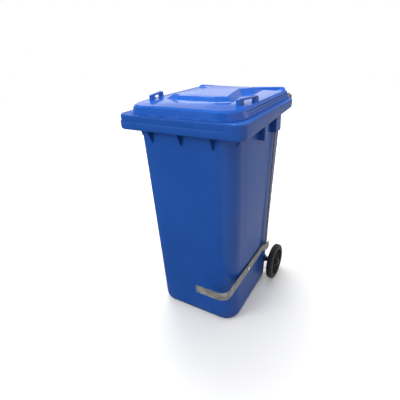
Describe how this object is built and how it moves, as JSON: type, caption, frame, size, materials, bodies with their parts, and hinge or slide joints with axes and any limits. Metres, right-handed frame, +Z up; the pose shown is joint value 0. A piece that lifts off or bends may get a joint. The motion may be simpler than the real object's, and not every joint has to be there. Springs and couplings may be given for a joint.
{
  "type": "wheelie bin",
  "caption": "Two-wheeled refuse bin with a hinged domed lid that a side pedal bar lifts through a push rod and a steel lever.",
  "frame": {"origin": "middle of the tub's flat underside, on the ground", "axes": "+X towards the side with the pedal rod, +Y towards the wheels and the hinge, +Z up"},
  "size_m": [0.58, 0.724, 1.0704],
  "materials": {
    "body_plastic": "satin moulded polyethylene with a fine grain",
    "lid_plastic": "glossy moulded polyethylene",
    "pin_plastic": "satin moulded plastic",
    "tyre_rubber": "solid black rubber",
    "wheel_plastic": "satin black moulded plastic",
    "axle_steel": "plain steel bar, dulled",
    "galvanised_steel": "galvanised flat bar, dull grey",
    "bright_steel": "zinc plated, bright",
    "soft_rubber": "soft black rubber",
    "bush_nylon": "dark nylon"
  },
  "bodies": {
    "root": {"body_shell": "body_plastic", "axle": "axle_steel", "axle_sleeve_right": "wheel_plastic", "axle_sleeve_left": "wheel_plastic", "axle_washers": "bright_steel", "axle_cap_right": "wheel_plastic", "axle_cap_left": "wheel_plastic", "hinge_pin_right": "pin_plastic", "hinge_pin_left": "pin_plastic", "pivot_bolt": "bright_steel", "pivot_bush": "bush_nylon", "pivot_washer": "bright_steel", "pivot_nut": "bright_steel", "lifter_bolt": "bright_steel"},
    "lid": {"lid_shell": "lid_plastic"},
    "pedal": {"pedal_bar": "galvanised_steel"},
    "rod": {"push_rod": "galvanised_steel", "rod_cap": "soft_rubber", "rod_pin": "bright_steel", "rod_pin_rings": "bright_steel"},
    "lifter": {"lid_lifter": "galvanised_steel", "lifter_pad": "soft_rubber"},
    "wheel_left": {"tyre_left": "tyre_rubber", "wheel_left": "wheel_plastic"},
    "wheel_right": {"tyre_right": "tyre_rubber", "wheel_right": "wheel_plastic"}
  },
  "joints": [
    {"name": "lid_lift", "type": "hinge", "parent": "root", "child": "lifter", "pos_m": [0, 0.4, 1.003], "axis": [-1, 0, 0], "range_deg": [0, 27.5]},
    {"name": "lid_hinge", "type": "hinge", "parent": "lifter", "child": "lid", "pos_m": [0, 0.4, 1.003], "axis": [-1, 0, 0], "range_deg": [0, 205]},
    {"name": "pedal_press", "type": "hinge", "parent": "root", "child": "pedal", "pos_m": [0.2305, -0.07, 0.258], "axis": [1, 0, 0], "range_deg": [0, 25]},
    {"name": "rod_swing", "type": "hinge", "parent": "pedal", "child": "rod", "pos_m": [0.234, 0.16, 0.258], "axis": [-1, 0, 0], "range_deg": [0, 26.66]},
    {"name": "wheel_right_spin", "type": "hinge", "parent": "root", "child": "wheel_right", "pos_m": [0.263, 0.24, 0.1], "axis": [1, 0, 0], "continuous": true},
    {"name": "wheel_left_spin", "type": "hinge", "parent": "root", "child": "wheel_left", "pos_m": [-0.263, 0.24, 0.1], "axis": [1, 0, 0], "continuous": true}
  ],
  "couplings": [
    {"joint": "pedal_press", "follows": "lid_lift", "ratio": 0.90909},
    {"joint": "rod_swing", "follows": "lid_lift", "ratio": 0.96945}
  ]
}
